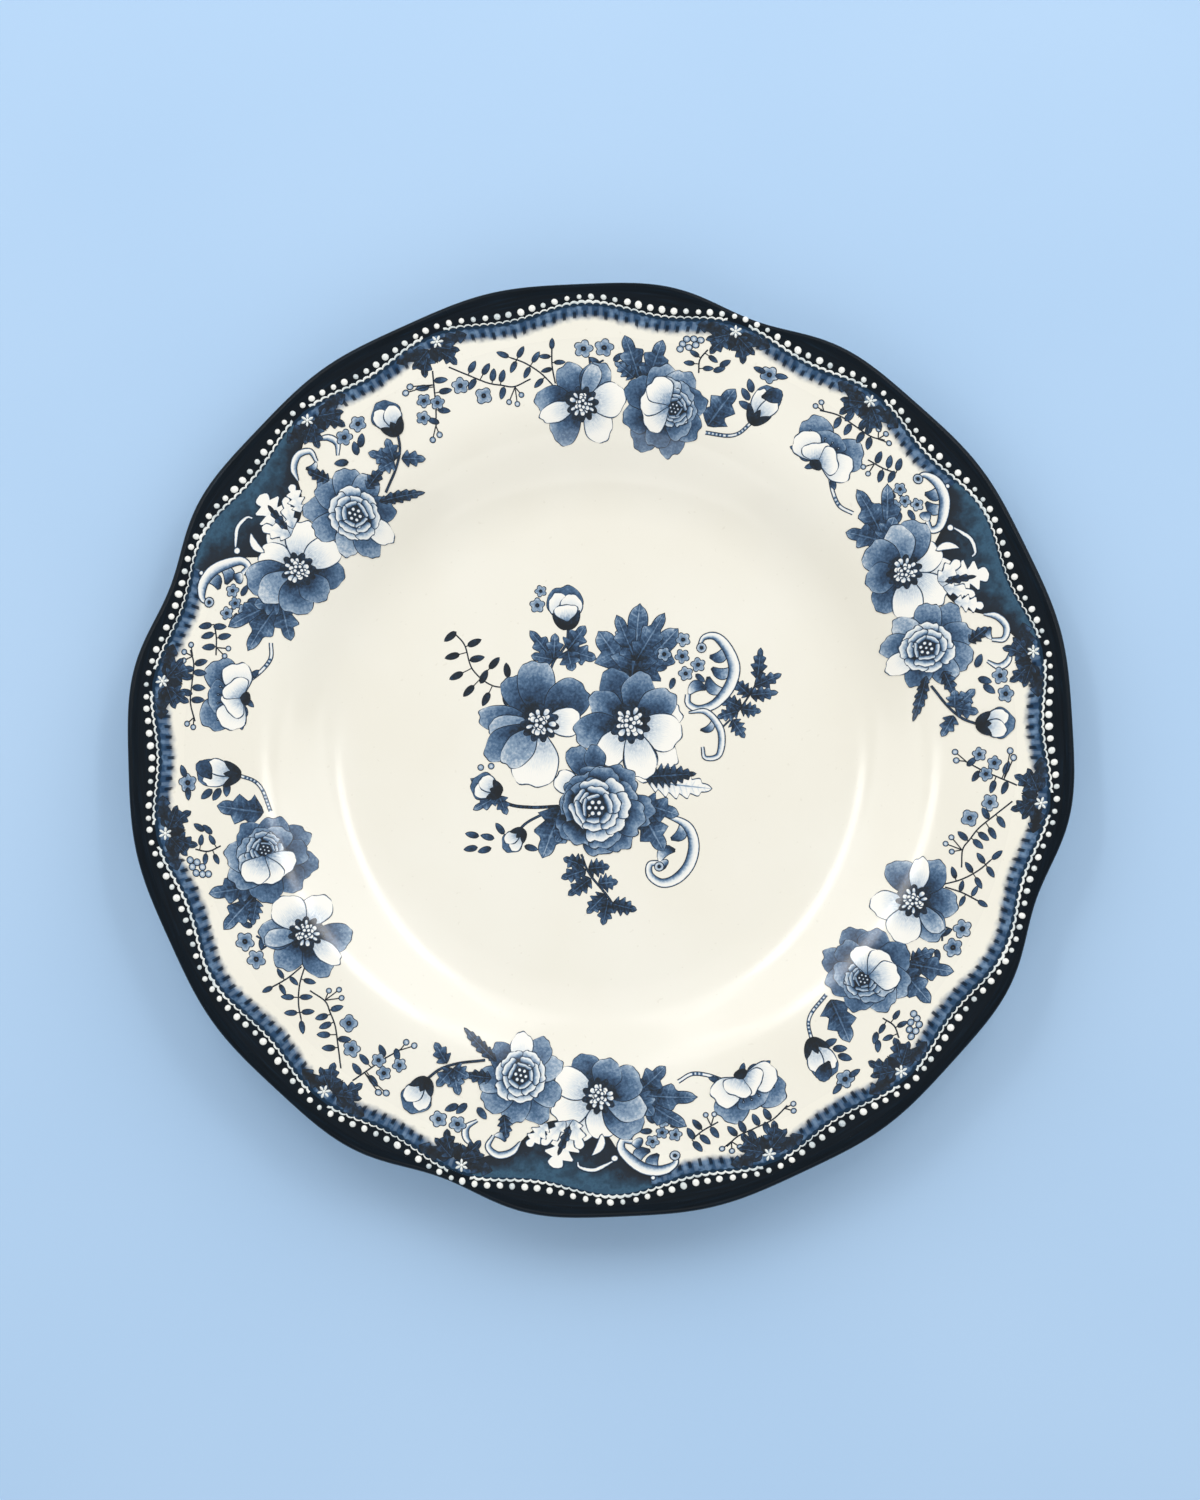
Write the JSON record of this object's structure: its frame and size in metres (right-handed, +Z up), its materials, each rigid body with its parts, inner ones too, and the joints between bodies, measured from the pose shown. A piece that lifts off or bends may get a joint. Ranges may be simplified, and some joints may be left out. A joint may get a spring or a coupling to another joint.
{
  "type": "dinner plate",
  "caption": "Round china dinner plate with a scalloped edge, a dark beaded border, and blue printed flower sprays round the rim and in the well.",
  "frame": {"origin": "centre of the foot ring's bearing face", "axes": "+Z up out of the eating face along the turning axis; X and Y are mirror axes of the scalloped outline, whose four notches lie on the diagonals"},
  "size_m": [0.27, 0.27, 0.0211],
  "materials": {
    "bare_clay": "fired white clay, unglazed, matt",
    "clear_glaze": "clear glossy glaze over cream clay",
    "dark_band": "near-black blue colour under a glossy glaze",
    "blue_print": "blue printed colour under a glossy glaze",
    "white_relief": "raised white, glossy"
  },
  "bodies": {
    "root": {"clay_body": "bare_clay", "face_glaze": "clear_glaze", "back_glaze": "clear_glaze", "foot_well_glaze": "clear_glaze", "edge_band": "dark_band", "border_print": "blue_print", "panel_print": "blue_print", "anemone_spray_print": "blue_print", "peony_spray_print": "blue_print", "centre_bouquet_print": "blue_print", "beading": "white_relief", "rope_line": "white_relief", "rosettes": "white_relief"}
  },
  "joints": []
}
